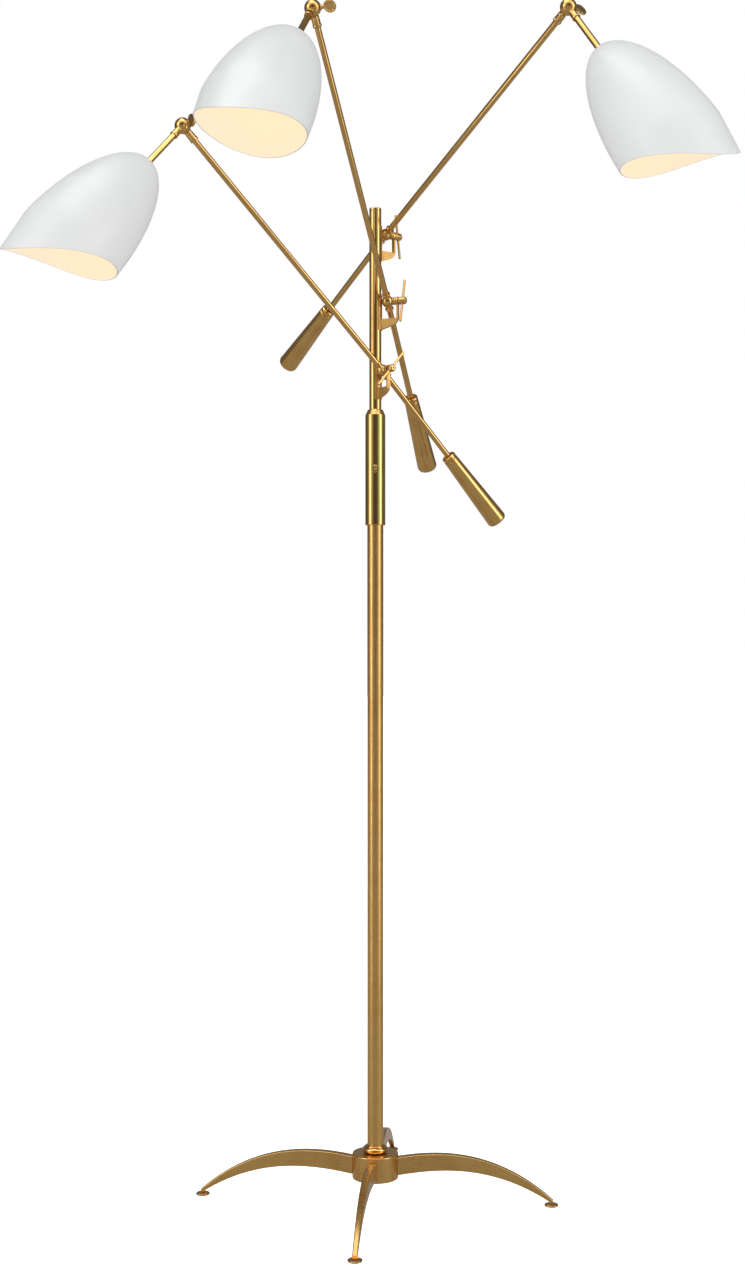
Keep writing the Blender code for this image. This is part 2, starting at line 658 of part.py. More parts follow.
# ---------------------------------------------------------------- assembly
def main():
    clear_scene()
    lamp = pivot("lamp", None, (COLUMN_X, COLUMN_Y, 0))
    make_legs(lamp)
    make_hub(lamp)
    make_column(lamp)
    make_height_screw(lamp)
    mast = pivot("mast", lamp)
    make_mast(mast)
    for index, (name, pose) in enumerate(ARMS.items()):
        angle = {key: math.radians(value) for key, value in pose.items()}
        seat = pivot(f"{name}_seat", mast, (0, 0, PIVOT_TOP - index * PIVOT_STEP), (0, 0, angle["bracket"]))
        make_bracket(name, seat)
        make_t_handle(name, seat, angle["lean"])
        tilt = (math.pi / 2 - angle["rise"], 0, 0)
        arm = pivot(f"{name}_arm", seat, (PIVOT_OFFSET, 0, 0), tilt)
        make_arm(name, arm)
        wrist = pivot(f"{name}_wrist", arm, (0, 0, ARM_LENGTH), (0, 0, angle["twist"]))
        head = pivot(f"{name}_head", wrist, rotation=(angle["bend"], 0, 0))
        make_ball_joint(name, wrist, head, angle["wing"])
        shade_axis = pivot(f"{name}_shade_axis", head, (0, 0, SHADE_TOP), (0, 0, angle["turn"]))
        make_head(name, head, shade_axis)


main()
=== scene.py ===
"""Looks for the adjustable arm floor lamp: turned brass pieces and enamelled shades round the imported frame.

Every piece is placed from the frame's joints and node boxes, in metres, and rides on its CAD body.
"""

import json  # noqa: E402
import math  # noqa: E402

import bmesh  # noqa: E402
import bpy  # noqa: E402
import numpy as np  # noqa: E402
from mathutils import Matrix, Vector  # noqa: E402


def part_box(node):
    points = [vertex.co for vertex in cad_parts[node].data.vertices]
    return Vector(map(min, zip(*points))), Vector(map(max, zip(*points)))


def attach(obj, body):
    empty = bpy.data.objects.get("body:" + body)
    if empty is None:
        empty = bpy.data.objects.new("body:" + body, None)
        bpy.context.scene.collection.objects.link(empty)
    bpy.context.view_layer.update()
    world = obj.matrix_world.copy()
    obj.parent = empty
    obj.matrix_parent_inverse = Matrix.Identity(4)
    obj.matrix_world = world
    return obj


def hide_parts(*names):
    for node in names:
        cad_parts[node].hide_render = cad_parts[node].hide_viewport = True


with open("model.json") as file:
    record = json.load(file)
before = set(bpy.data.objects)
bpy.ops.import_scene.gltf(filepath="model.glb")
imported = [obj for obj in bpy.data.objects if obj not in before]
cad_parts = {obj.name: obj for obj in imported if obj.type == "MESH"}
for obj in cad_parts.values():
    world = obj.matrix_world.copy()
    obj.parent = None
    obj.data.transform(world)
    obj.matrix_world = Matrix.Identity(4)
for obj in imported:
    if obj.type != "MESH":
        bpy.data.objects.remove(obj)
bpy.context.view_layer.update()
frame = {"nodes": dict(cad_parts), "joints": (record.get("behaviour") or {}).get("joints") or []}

# ---------------------------------------------------------------- sizes shared with the CAD
GAP = 0.0003  # between pieces that touch
SHAFT_GAP = 0.0004  # round a shaft in its bore
HUB_COUNTERBORE, HUB_COUNTERBORE_DEPTH, HUB_SOCKET_DEPTH = 0.0135, 0.009, 0.026
TIE_BORE = 0.0054
LOWER_TUBE_WALL, UPPER_TUBE_WALL = 0.0015, 0.0012
SLEEVE_CONE = 0.0075
SCREW_HEAD_HEIGHT = 0.0062
TUBE_RADIUS, TUBE_WALL = 0.0046, 0.0009
SOCKET_RADIUS = TUBE_RADIUS + GAP
PIN_RADIUS = 0.0024
PIN_START = 0.0140  # arm's pivot line: the clamp screw's inner end
KNUCKLE_RADIUS, KNUCKLE_BORE = 0.0093, 0.0085
COLLAR_RADIUS, COLLAR_END = 0.0062, 0.0145
CLAMP_LEG_INNER, CLAMP_LEG_OUTER = 0.0360, 0.0390
BRACKET_TOP, BRACKET_BOTTOM, BRACKET_THICKNESS = -0.027, -0.044, 0.006
SADDLE_TOP, SADDLE_THICKNESS, SADDLE_HALF_ANGLE = 0.0110, 0.0011, 40
T_BAR_RADIUS, T_BAR_LENGTH, T_BAR_AT = 0.0019, 0.073, 0.0455
T_HEAD_RADIUS, T_HEAD_END = 0.0060, 0.0520
WEIGHT_END, WEIGHT_LENGTH, WEIGHT_SOCKET = 0.322, 0.143, 0.020
BALL_RADIUS, SEAM, HALF_CLEARANCE = 0.012, 0.00015, 0.00035
ARM_NECK_BORE, ARM_NECK_END = 0.0195, 0.0275
HEAD_NECK_BORE, HEAD_NECK_END = 0.0180, 0.0240
PADDLE_RADIUS, PADDLE_AT, PADDLE_HALF_THICKNESS = 0.0092, 0.0258, 0.0016
SHADE_LENGTH, SHADE_RADIUS, DOME_LENGTH = 0.213, 0.075, 0.198
SKIRT_TAPER, MOUTH_SLOPE, MOUTH_HOLLOW, SHADE_WALL = 0.137, 0.765, 0.0173, 0.0012
HOLDER_RADIUS, HOLDER_TOP, HOLDER_FLOOR, HOLDER_END = 0.0175, 0.0045, 0.0230, 0.056
BULB_RADIUS, BULB_END, BULB_NECK, BULB_WALL = 0.030, 0.140, 0.0130, 0.0010
LEG_ROOT_WIDTH, LEG_TIP_WIDTH, LEG_EDGE = 0.015, 0.008, 0.0016
LEG_REACH, FOOT_HEIGHT = 0.278, 0.004

FINE = 64  # segments of a large turned piece
SMALL = 40
ARMS = ("top", "middle", "bottom")
LEGS = ("right", "back", "left", "front")

# ---------------------------------------------------------------- camera and light
CAMERA_DISTANCE, CAMERA_HEIGHT = 2.75, 0.873
CAMERA_LENS, CAMERA_SHIFT = 48.73, (-0.0022, 0.0078)
WARM_WHITE = (1.0, 0.985, 0.96)
FLOOR_SIZE, FLOOR_IN_METAL, FLOOR_GLOW = 60.0, 0.36, 0.85
# brightness of the room that the metal reflects: (share of the way, level)
ROOM_FRONT_TO_BACK = ((0.0, 0.09), (0.04, 0.15), (0.09, 0.48), (0.16, 0.85), (0.24, 1.90), (0.34, 1.60),
                      (0.43, 0.50), (0.52, 0.20), (0.75, 0.13), (1.0, 0.20))
ROOM_FOOT_TO_TOP = ((0.0, 0.35), (0.40, 0.36), (0.485, 0.60), (0.55, 0.95), (0.62, 1.05), (1.0, 1.05))

JOINTS = {joint["name"]: joint for joint in frame["joints"]}
COLUMN = Vector(JOINTS["mast_swivel"]["pos_m"]).xy
Z_TO_X = Matrix.Rotation(math.pi / 2, 4, "Y")


# ---------------------------------------------------------------- shapes
def basis(origin, along, across):
    """The frame at origin with local Z along one direction and local X near another."""
    z = Vector(along).normalized()
    x = Vector(across)
    x = (x - z * x.dot(z)).normalized()
    y = z.cross(x)
    return Matrix.Translation(origin) @ Matrix((x, y, z)).transposed().to_4x4()


def arc(centre, radius, first, last, steps):
    """Points of an arc, from first to last degrees, about centre in the (radius, height) plane."""
    angles = [math.radians(first + (last - first) * i / steps) for i in range(steps + 1)]
    return [(centre[0] + radius * math.cos(a), centre[1] + radius * math.sin(a)) for a in angles]


def soften(outline, radius, steps=3):
    """The outline with its corners rounded. Corners on the axis, or of under 12 degrees, stay."""
    soft = []
    count = len(outline)
    for i, here in enumerate(outline):
        corner = Vector(here)
        before = Vector(outline[i - 1]) - corner
        after = Vector(outline[(i + 1) % count]) - corner
        reach = min(radius, before.length * 0.42, after.length * 0.42)
        if here[0] < 1e-6 or reach < 1e-6 or before.angle(after) > math.radians(168):
            soft.append(tuple(here))
            continue
        start, end = corner + before.normalized() * reach, corner + after.normalized() * reach
        for step in range(steps + 1):
            t = step / steps
            soft.append(tuple(start * (1 - t) ** 2 + corner * 2 * t * (1 - t) + end * t * t))
    return soft


def lathe(outline, segments, matrix=None):
    """The closed outline of (radius, height) points, turned about Z."""
    shape = bmesh.new()
    rings = []
    for radius, height in outline:
        if radius < 1e-6:
            rings.append([shape.verts.new((0, 0, height))] * segments)
            continue
        angles = [2 * math.pi * i / segments for i in range(segments)]
        rings.append([shape.verts.new((radius * math.cos(a), radius * math.sin(a), height)) for a in angles])
    for first, second in zip(rings, rings[1:] + rings[:1]):
        for i in range(segments):
            j = (i + 1) % segments
            corners = list(dict.fromkeys((first[i], first[j], second[j], second[i])))
            if len(corners) > 2:
                shape.faces.new(corners)
    if matrix:
        bmesh.ops.transform(shape, matrix=matrix, verts=shape.verts)
    return shape


def rod(radius, start, end, segments, matrix=None):
    return lathe([(0, start), (radius, start), (radius, end), (0, end)], segments, matrix)


def loft(sections):
    """A closed solid through loops of points."""
    shape = bmesh.new()
    loops = [[shape.verts.new(point) for point in section] for section in sections]
    count = len(sections[0])
    for first, second in zip(loops, loops[1:]):
        for i in range(count):
            j = (i + 1) % count
            shape.faces.new((first[i], first[j], second[j], second[i]))
    shape.faces.new(loops[0])
    shape.faces.new(loops[-1])
    return shape


def mesh_of(name, shape):
    bmesh.ops.recalc_face_normals(shape, faces=shape.faces)
    mesh = bpy.data.meshes.new(name)
    shape.to_mesh(mesh)
    shape.free()
    return mesh


def combine(obj, shape, operation):
    """Applies a Boolean of obj with a helper shape, which is in obj's own frame."""
    helper = bpy.data.objects.new("helper", mesh_of("helper", shape))
    helper.matrix_world = obj.matrix_world
    bpy.context.scene.collection.objects.link(helper)
    modifier = obj.modifiers.new("join", "BOOLEAN")
    modifier.operation, modifier.solver, modifier.object = operation, "EXACT", helper
    bpy.context.view_layer.update()
    result = bpy.data.meshes.new_from_object(obj.evaluated_get(bpy.context.evaluated_depsgraph_get()))
    obj.modifiers.clear()
    obj.data = result
    bpy.data.objects.remove(helper)


def piece(name, shape, matrix):
    """A new object for the shape, which is in the frame that matrix gives."""
    obj = bpy.data.objects.new(name, mesh_of(name, shape))
    bpy.context.scene.collection.objects.link(obj)
    obj.matrix_world = matrix
    bpy.context.view_layer.update()
    return obj


def dress(obj, body, material, slot, *nodes, edge=0.0, sharp=50):
    """Shading, material, body and the CAD nodes that the finished piece stands for."""
    obj.data.shade_smooth()
    obj.data.set_sharp_from_angle(angle=math.radians(sharp))
    if not obj.data.materials:
        obj.data.materials.append(material)
    if edge:
        bevel = obj.modifiers.new("edges", "BEVEL")
        bevel.width, bevel.segments = edge, 2
        bevel.limit_method, bevel.angle_limit = "ANGLE", math.radians(35)
        bevel.harden_normals = False
    weighted = obj.modifiers.new("normals", "WEIGHTED_NORMAL")
    weighted.keep_sharp = True
    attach(obj, body)
    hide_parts(*nodes)
    return obj


def turned(name, outline, matrix, body, material, node, radius=0.0004, segments=SMALL):
    """A lathe-turned brass piece with rounded corners."""
    obj = piece(name, lathe(soften(outline, radius), segments), matrix)
    return dress(obj, body, material, "antique_brass", node)


# ---------------------------------------------------------------- materials
class Nodes:
    """Short ways to add and link the nodes of one material."""

    def __init__(self, name):
        self.material = bpy.data.materials.new(name)
        self.material.use_nodes = True
        self.tree = self.material.node_tree
        self.shader = self.tree.nodes["Principled BSDF"]

    def add(self, kind, **values):
        node = self.tree.nodes.new(kind)
        for key, value in values.items():
            if key in node.inputs:
                node.inputs[key].default_value = value
            else:
                setattr(node, key, value)
        return node

    def link(self, source, target):
        self.tree.links.new(source, target)

    def place(self, scale, rotation=(0, 0, 0)):
        """The piece's own coordinates, stretched."""
        coordinates = self.add("ShaderNodeTexCoord")
        mapping = self.add("ShaderNodeMapping")
        mapping.inputs["Scale"].default_value = scale
        mapping.inputs["Rotation"].default_value = rotation
        self.link(coordinates.outputs["Object"], mapping.inputs["Vector"])
        return mapping.outputs["Vector"]

    def noise(self, scale, detail=4.0, stretch=(1, 1, 1), roughness=0.55):
        texture = self.add("ShaderNodeTexNoise", Scale=scale, Detail=detail, Roughness=roughness)
        self.link(self.place(stretch), texture.inputs["Vector"])
        return texture.outputs["Fac"]

    def ramp(self, source, stops):
        """Colours along a value from 0 to 1: stops are (place, colour)."""
        node = self.add("ShaderNodeValToRGB")
        elements = node.color_ramp.elements
        while len(elements) < len(stops):
            elements.new(0.5)
        for element, (place, colour) in zip(elements, stops):
            element.position = place
            element.color = (*colour, 1.0) if len(colour) == 3 else colour
        self.link(source, node.inputs["Fac"])
        return node.outputs["Color"]

    def remap(self, source, low, high, source_low=0.3, source_high=0.7):
        node = self.add("ShaderNodeMapRange")
        limits = {"From Min": source_low, "From Max": source_high, "To Min": low, "To Max": high}
        for key, value in limits.items():
            node.inputs[key].default_value = value
        self.link(source, node.inputs["Value"])
        return node.outputs["Result"]

    def mix(self, factor, first, second, blend="MIX"):
        node = self.add("ShaderNodeMix", data_type="RGBA", blend_type=blend)
        for socket, value in ((node.inputs[0], factor), (node.inputs[6], first), (node.inputs[7], second)):
            if isinstance(value, bpy.types.NodeSocket):
                self.link(value, socket)
            else:
                socket.default_value = value if isinstance(value, float) else (*value, 1.0)
        return node.outputs[2]

    def bump(self, height, strength, distance, under=None):
        node = self.add("ShaderNodeBump", Strength=strength, Distance=distance)
        self.link(height, node.inputs["Height"])
        if under:
            self.link(under, node.inputs["Normal"])
        return node.outputs["Normal"]

    def set(self, **values):
        for key, value in values.items():
            socket = self.shader.inputs[key.replace("_", " ")]
            if isinstance(value, bpy.types.NodeSocket):
                self.link(value, socket)
            else:
                socket.default_value = value


BRASS_DARK, BRASS_MID, BRASS_LIGHT = (0.34, 0.165, 0.042), (0.67, 0.380, 0.112), (0.77, 0.465, 0.155)


def antique_brass(name, grain, rough, aged, relief=1.0):
    """Hand-rubbed brass: grain is small along the rubbing, aged darkens it, relief deepens its marks."""
    nodes = Nodes(name)
    streaks = nodes.noise(1.0, 6.0, stretch=grain, roughness=0.65)
    clouds = nodes.noise(22.0, 5.0)
    spots = nodes.noise(160.0, 3.0)
    colour = nodes.ramp(clouds, [(0.28, BRASS_MID), (0.55, BRASS_LIGHT), (0.8, BRASS_MID)])
    worn = nodes.remap(streaks, 0.0, 0.34 * aged, 0.48, 0.74)
    colour = nodes.mix(worn, colour, BRASS_DARK)
    specks = nodes.remap(spots, 0.0, 0.22 * aged, 0.58, 0.80)
    colour = nodes.mix(specks, colour, BRASS_DARK)
    edges = nodes.add("ShaderNodeNewGeometry").outputs["Pointiness"]
    # painted shade: sunken places, where pointiness is low, are darkened towards BRASS_DARK in place of
    # ambient occlusion
    painted_recess_shade = nodes.remap(edges, 0.65, 0.0, 0.44, 0.495)
    colour = nodes.mix(painted_recess_shade, colour, BRASS_DARK)
    rubbed = nodes.remap(edges, 0.0, 0.5, 0.51, 0.58)
    colour = nodes.mix(rubbed, colour, BRASS_LIGHT)
    normal = nodes.bump(streaks, 0.03 * relief, 0.0002)
    normal = nodes.bump(spots, 0.015 * relief, 0.0003, normal)
    nodes.set(
        Base_Color=colour,
        Metallic=1.0,
        Roughness=nodes.remap(streaks, rough * 0.7, rough * 1.4),
        Coat_Weight=0.12,
        Coat_Roughness=0.12,
        Normal=normal,
    )
    return nodes.material


def enamel(name, colour, shade, rough, glow=0.0, glow_colour=(1.0, 1.0, 1.0)):
    """Sprayed satin paint, cloudy between two near colours, with a faint orange-peel."""
    nodes = Nodes(name)
    clouds = nodes.noise(9.0, 3.0)
    peel = nodes.noise(900.0, 2.0)
    dust = nodes.noise(60.0, 5.0)
    tint = nodes.mix(nodes.remap(clouds, 0.0, 1.0), colour, shade)
    normal = nodes.bump(peel, 0.05, 0.0003)
    nodes.set(
        Base_Color=tint,
        Roughness=nodes.remap(dust, rough - 0.05, rough + 0.07),
        Coat_Weight=0.12,
        Coat_Roughness=0.3,
        Normal=normal,
    )
    # glow is an even emission: the bulb's own light, and on the shades' lining painted lamplight
    if glow:
        nodes.set(Emission_Strength=glow, Emission_Color=(*glow_colour, 1.0))
    return nodes.material


LENGTHWISE = (900.0, 900.0, 14.0)  # rubbed along the piece's own Z
COARSE_LENGTHWISE = (700.0, 700.0, 24.0)
HUB_LENGTHWISE = (700.0, 700.0, 30.0)
PLATE_LENGTHWISE = (500.0, 500.0, 60.0)
AROUND = (60.0, 60.0, 1600.0)  # turned: lines run round the piece's Z
OUTWARD = (16.0, 900.0, 900.0)  # along a leg's local X
LAMPLIGHT = (1.0, 0.84, 0.62)
BULB_LIGHT = (1.0, 0.88, 0.70)

brass_tube = antique_brass("brass_rubbed_lengthwise", LENGTHWISE, 0.09, 0.45, 0.3)
brass_lower = antique_brass("brass_rubbed_dull", LENGTHWISE, 0.30, 0.9, 0.6)
brass_turned = antique_brass("brass_turned", AROUND, 0.11, 0.6, 0.4)
brass_leg = antique_brass("brass_rubbed_leg", OUTWARD, 0.25, 0.55)
brass_weight = antique_brass("brass_weight", COARSE_LENGTHWISE, 0.16, 0.9, 0.5)
brass_hub = antique_brass("brass_hub", HUB_LENGTHWISE, 0.27, 0.7)
brass_bracket = antique_brass("brass_bracket", PLATE_LENGTHWISE, 0.45, 0.2)
shade_white = enamel("shade_white_enamel", (0.87, 0.885, 0.885), (0.84, 0.855, 0.86), 0.38)
# the lining is cream paint with a warm emission added: painted lamplight, the hidden bulb's light on the
# inside
shade_cream_and_lamplight = enamel("shade_cream_lining", (0.90, 0.85, 0.75), (0.88, 0.82, 0.71), 0.5, 0.20, LAMPLIGHT)
# painted shade: the rim is a darker grey of the white enamel, for the dark line along the shade's edge
shade_rim_painted_shade = enamel("shade_rim_painted_shade", (0.50, 0.51, 0.52), (0.42, 0.43, 0.44), 0.4)
holder_cream = enamel("holder_cream", (0.80, 0.76, 0.66), (0.74, 0.69, 0.58), 0.4)
bulb_opal = enamel("bulb_opal", (0.95, 0.90, 0.80), (0.93, 0.87, 0.76), 0.22, 0.5, BULB_LIGHT)
nylon = enamel("nylon_black", (0.05, 0.05, 0.05), (0.07, 0.07, 0.07), 0.5)


# ---------------------------------------------------------------- stand
def leg_section(centre_top, centre_bottom, half, edge):
    """A rounded rectangle across a leg, from its upper to its lower middle point."""
    top, bottom = Vector(centre_top), Vector(centre_bottom)
    down = (bottom - top).normalized()
    depth = (bottom - top).length
    corners = ((half, 0.0, 0), (half, depth, 90), (-half, depth, 180), (-half, 0.0, 270))
    loop = []
    for side, at, first in corners:
        inward = -1 if side > 0 else 1
        centre = (side + inward * edge, at + (edge if at == 0.0 else -edge))
        for step in range(4):
            angle = math.radians(first - 90 + step * 30)
            across = centre[0] + edge * math.cos(angle)
            along = centre[1] + edge * math.sin(angle)
            point = top + down * along
            loop.append((point.x, across, point.y))
    return loop


def bezier(ends, t):
    """The point at t on the cubic with these four (x, z) control points."""
    weights = ((1 - t) ** 3, 3 * t * (1 - t) ** 2, 3 * t * t * (1 - t), t**3)
    return tuple(sum(w * p[axis] for w, p in zip(weights, ends)) for axis in (0, 1))


def make_stand():
    hub_low, hub_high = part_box("hub")
    hub_radius = (hub_high.x - hub_low.x) / 2
    upright = Matrix.Translation((*COLUMN, 0))
    bottom, top = hub_low.z, hub_high.z
    start, tip = hub_radius - 0.005, LEG_REACH + 0.003  # the leg's curves begin inside the hub
    upper = ((start, bottom + 0.033), (0.112, bottom + 0.050), (0.198, bottom + 0.045),
             (tip, FOOT_HEIGHT + 0.0055))
    under = ((start, bottom + 0.005), (0.110, bottom + 0.021), (0.190, bottom + 0.025),
             (tip - 0.002, FOOT_HEIGHT + GAP))
    steps, first_t = 40, 0.022  # the root is cut off where it meets the hub
    for name in LEGS:
        foot_low, foot_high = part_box(f"{name}_foot")
        spot = (foot_low + foot_high) / 2
        direction = Vector((spot.x - COLUMN.x, spot.y - COLUMN.y, 0))
        turn = Matrix.Rotation(math.atan2(direction.y, direction.x), 4, "Z")
        sections = []
        for step in range(steps + 1):
            t = first_t + (1 - first_t) * step / steps
            half = (LEG_ROOT_WIDTH + (LEG_TIP_WIDTH - LEG_ROOT_WIDTH) * t) / 2
            loop = leg_section(bezier(upper, t), bezier(under, t), half, LEG_EDGE)
            if step == 0:  # the root follows the hub's round side
                loop = [(math.sqrt((hub_radius + GAP) ** 2 - y * y), y, z) for x, y, z in loop]
            sections.append(loop)
        leg = piece(f"{name}_leg_brass", loft(sections), upright @ turn)
        dress(leg, "stand", brass_leg, "antique_brass", f"{name}_leg")
        radius = (foot_high.x - foot_low.x) / 2
        pad = [
            (0, 0.0),
            (radius - 0.0010, 0.0),
            (radius, 0.0012),
            (radius, 0.0026),
            (radius - 0.0018, FOOT_HEIGHT - 0.0003),
            (radius - 0.0048, FOOT_HEIGHT),
            (0, FOOT_HEIGHT),
        ]
        turned(f"{name}_foot_pad", pad, Matrix.Translation((spot.x, spot.y, 0)), "stand", brass_turned,
               f"{name}_foot", 0.0005)

    tube_low, tube_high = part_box("lower_tube")
    tube_radius = (tube_high.x - tube_low.x) / 2
    socket = tube_radius + GAP
    hub = [
        (HUB_COUNTERBORE, bottom),
        (hub_radius, bottom),
        (hub_radius, top),
        (socket, top),
        (socket, top - HUB_SOCKET_DEPTH),
        (TIE_BORE, top - HUB_SOCKET_DEPTH),
        (TIE_BORE, bottom + HUB_COUNTERBORE_DEPTH),
        (HUB_COUNTERBORE, bottom + HUB_COUNTERBORE_DEPTH),
    ]
    turned("hub_block", hub, upright, "stand", brass_hub, "hub", 0.0018, 96)
    ring_low, ring_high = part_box("column_ring")
    ring_radius, bead = (ring_high.x - ring_low.x) / 2, (ring_high.z - ring_low.z) / 2
    middle = ring_low.z + bead
    ring = [
        (socket, middle - bead),
        *arc((ring_radius - bead * 0.82, middle - bead * 0.12), bead * 0.82, -90, 55, 10),
        (ring_radius - bead * 0.75, middle + bead * 0.62),
        *arc((socket + 0.0016, middle + bead * 0.72), bead * 0.27, 0, 90, 4),
        (socket, middle + bead),
    ]
    turned("column_bead", ring, upright, "stand", brass_turned, "column_ring", 0.0002, FINE)
    inner = tube_radius - LOWER_TUBE_WALL
    lower = [(inner, tube_low.z), (tube_radius, tube_low.z), (tube_radius, tube_high.z), (inner, tube_high.z)]
    turned("lower_tube_brass", lower, upright, "stand", brass_lower, "lower_tube", 0.0004, FINE)

    sleeve_low, sleeve_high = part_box("sleeve")
    sleeve_radius = (sleeve_high.x - sleeve_low.x) / 2
    mast_low, mast_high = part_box("upper_tube")
    mast_radius = (mast_high.x - mast_low.x) / 2
    narrow = mast_radius + SHAFT_GAP
    sleeve = [
        (socket, sleeve_low.z),
        (sleeve_radius, sleeve_low.z),
        (sleeve_radius, sleeve_high.z - SLEEVE_CONE - 0.0012),
        (sleeve_radius - 0.0006, sleeve_high.z - SLEEVE_CONE),
        (narrow + 0.0026, sleeve_high.z - 0.0012),
        (narrow + 0.0020, sleeve_high.z),
        (narrow, sleeve_high.z),
        (narrow, tube_high.z + GAP),
        (socket, tube_high.z + GAP),
    ]
    turned("sleeve_brass", sleeve, upright, "stand", brass_tube, "sleeve", 0.0006, FINE)

    screw_low, screw_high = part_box("height_screw")
    screw_z = (screw_low.z + screw_high.z) / 2
    head = (screw_high.z - screw_low.z) / 2
    towards_front = Matrix.Translation((*COLUMN, screw_z)) @ Matrix.Rotation(math.pi / 2, 4, "X")
    face = sleeve_radius + GAP
    screw = [
        (0, narrow),
        (PIN_RADIUS, narrow),
        (PIN_RADIUS, face),
        (head, face),
        (head, face + SCREW_HEAD_HEIGHT - 0.0010),
        (head - 0.0011, face + SCREW_HEAD_HEIGHT),
        (0.0021, face + SCREW_HEAD_HEIGHT - 0.0004),
        (0.0014, face + SCREW_HEAD_HEIGHT - 0.0012),
        (0, face + SCREW_HEAD_HEIGHT - 0.0012),
    ]
    turned("height_thumb_screw", screw, towards_front, "height_screw", brass_turned, "height_screw", 0.0004)

    cap_low, cap_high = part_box("top_cap")
    mast_top, cap_start = cap_high.z, mast_high.z + GAP
    bore = mast_radius - UPPER_TUBE_WALL
    upper_tube = [
        (bore, mast_low.z),
        (mast_radius, mast_low.z),
        (mast_radius, mast_high.z),
        (bore, mast_high.z),
    ]
    turned("upper_tube_brass", upper_tube, upright, "mast", brass_tube, "upper_tube", 0.0003, FINE)
    plug = bore - GAP
    cap = [
        (0, cap_low.z),
        (plug, cap_low.z),
        (plug, cap_start),
        (mast_radius, cap_start),
        (mast_radius, mast_top),
        (0, mast_top),
    ]
    turned("mast_cap", cap, upright, "mast", brass_turned, "top_cap", 0.0016, FINE)


# ---------------------------------------------------------------- arms
def vertices_from(node, origin):
    """A CAD node's vertices, counted from a point."""
    return np.array([v.co for v in frame["nodes"][node].data.vertices], float) - np.array(origin)


def spread_direction(node, origin, axis, beyond, widest=True):
    """The direction across axis in which the part of a node beyond a distance is widest or thinnest."""
    axis = np.array(axis)
    points = vertices_from(node, origin)
    points = points[points @ axis > beyond]
    flat = points - np.outer(points @ axis, axis)
    values, directions = np.linalg.eigh(flat.T @ flat)
    return Vector(directions[:, 2 if widest else 1])


def make_bracket(name, seat):
    mast_low, mast_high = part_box("upper_tube")
    inner = (mast_high.x - mast_low.x) / 2 + GAP
    outer = inner + SADDLE_THICKNESS
    middle, half = (inner + outer) / 2, BRACKET_THICKNESS / 2
    outline = (
        (middle, BRACKET_BOTTOM),
        (0.0290, BRACKET_BOTTOM + 0.0060),
        (0.0355, BRACKET_BOTTOM + 0.0100),
        (CLAMP_LEG_OUTER, BRACKET_BOTTOM + 0.0160),
        (CLAMP_LEG_OUTER, 0),
        (CLAMP_LEG_INNER, 0),
        (CLAMP_LEG_INNER, BRACKET_TOP),
        (middle, BRACKET_TOP),
    )
    plate = loft([[(x, side, z) for x, z in outline] for side in (-half, half)])
    bracket = piece(f"{name}_bracket_plate", plate, seat)
    turn = SADDLE_HALF_ANGLE
    loop = arc((0, 0), inner, -turn, turn, 16) + arc((0, 0), outer, turn, -turn, 16)
    saddle = [[(x, y, z) for x, y in loop] for z in (BRACKET_BOTTOM - 0.0005, SADDLE_TOP)]
    combine(bracket, loft(saddle), "UNION")
    combine(bracket, rod(0.0066, CLAMP_LEG_INNER, CLAMP_LEG_OUTER, SMALL, Z_TO_X), "UNION")
    combine(bracket, rod(PIN_RADIUS + GAP, 0.030, 0.045, SMALL, Z_TO_X), "DIFFERENCE")
    dress(bracket, "mast", brass_bracket, "antique_brass", f"{name}_bracket", edge=0.0003, sharp=35)


def make_clamp(name, seat, bar_direction):
    hole = PIN_RADIUS + GAP
    spacer = [
        (hole, 0.0304),
        (COLLAR_RADIUS - 0.0004, 0.0285),
        (COLLAR_RADIUS, 0.0300),
        (COLLAR_RADIUS - 0.0009, 0.0316),
        (COLLAR_RADIUS - 0.0002, 0.0330),
        (COLLAR_RADIUS, CLAMP_LEG_INNER - GAP),
        (hole, CLAMP_LEG_INNER - GAP),
    ]
    turned(f"{name}_clamp_spacer", spacer, seat @ Z_TO_X, "mast", brass_turned, f"{name}_clamp_ring")
    axis = seat.to_3x3().col[0]
    turn = basis(seat.translation, axis, bar_direction)
    face = CLAMP_LEG_OUTER + GAP
    outline = [
        (0, PIN_START),
        (PIN_RADIUS, PIN_START),
        (PIN_RADIUS, face),
        (T_HEAD_RADIUS - 0.0008, face),
        (T_HEAD_RADIUS, face + 0.0012),
        (T_HEAD_RADIUS, T_HEAD_END - 0.0030),
        (T_HEAD_RADIUS - 0.0010, T_HEAD_END - 0.0010),
        (T_HEAD_RADIUS - 0.0027, T_HEAD_END),
        (0.0015, T_HEAD_END),
        (0.0015, T_HEAD_END - 0.0020),
        (0, T_HEAD_END - 0.0020),
    ]
    handle = piece(f"{name}_tee_handle", lathe(soften(outline, 0.0006), SMALL), turn)
    half = T_BAR_LENGTH / 2
    bar = soften([(0, -half), (T_BAR_RADIUS, -half), (T_BAR_RADIUS, half), (0, half)], 0.0008)
    combine(handle, lathe(bar, 28, Matrix.Translation((0, 0, T_BAR_AT)) @ Z_TO_X), "UNION")
    dress(handle, f"{name}_clamp", brass_turned, "antique_brass", f"{name}_t_handle", sharp=38)


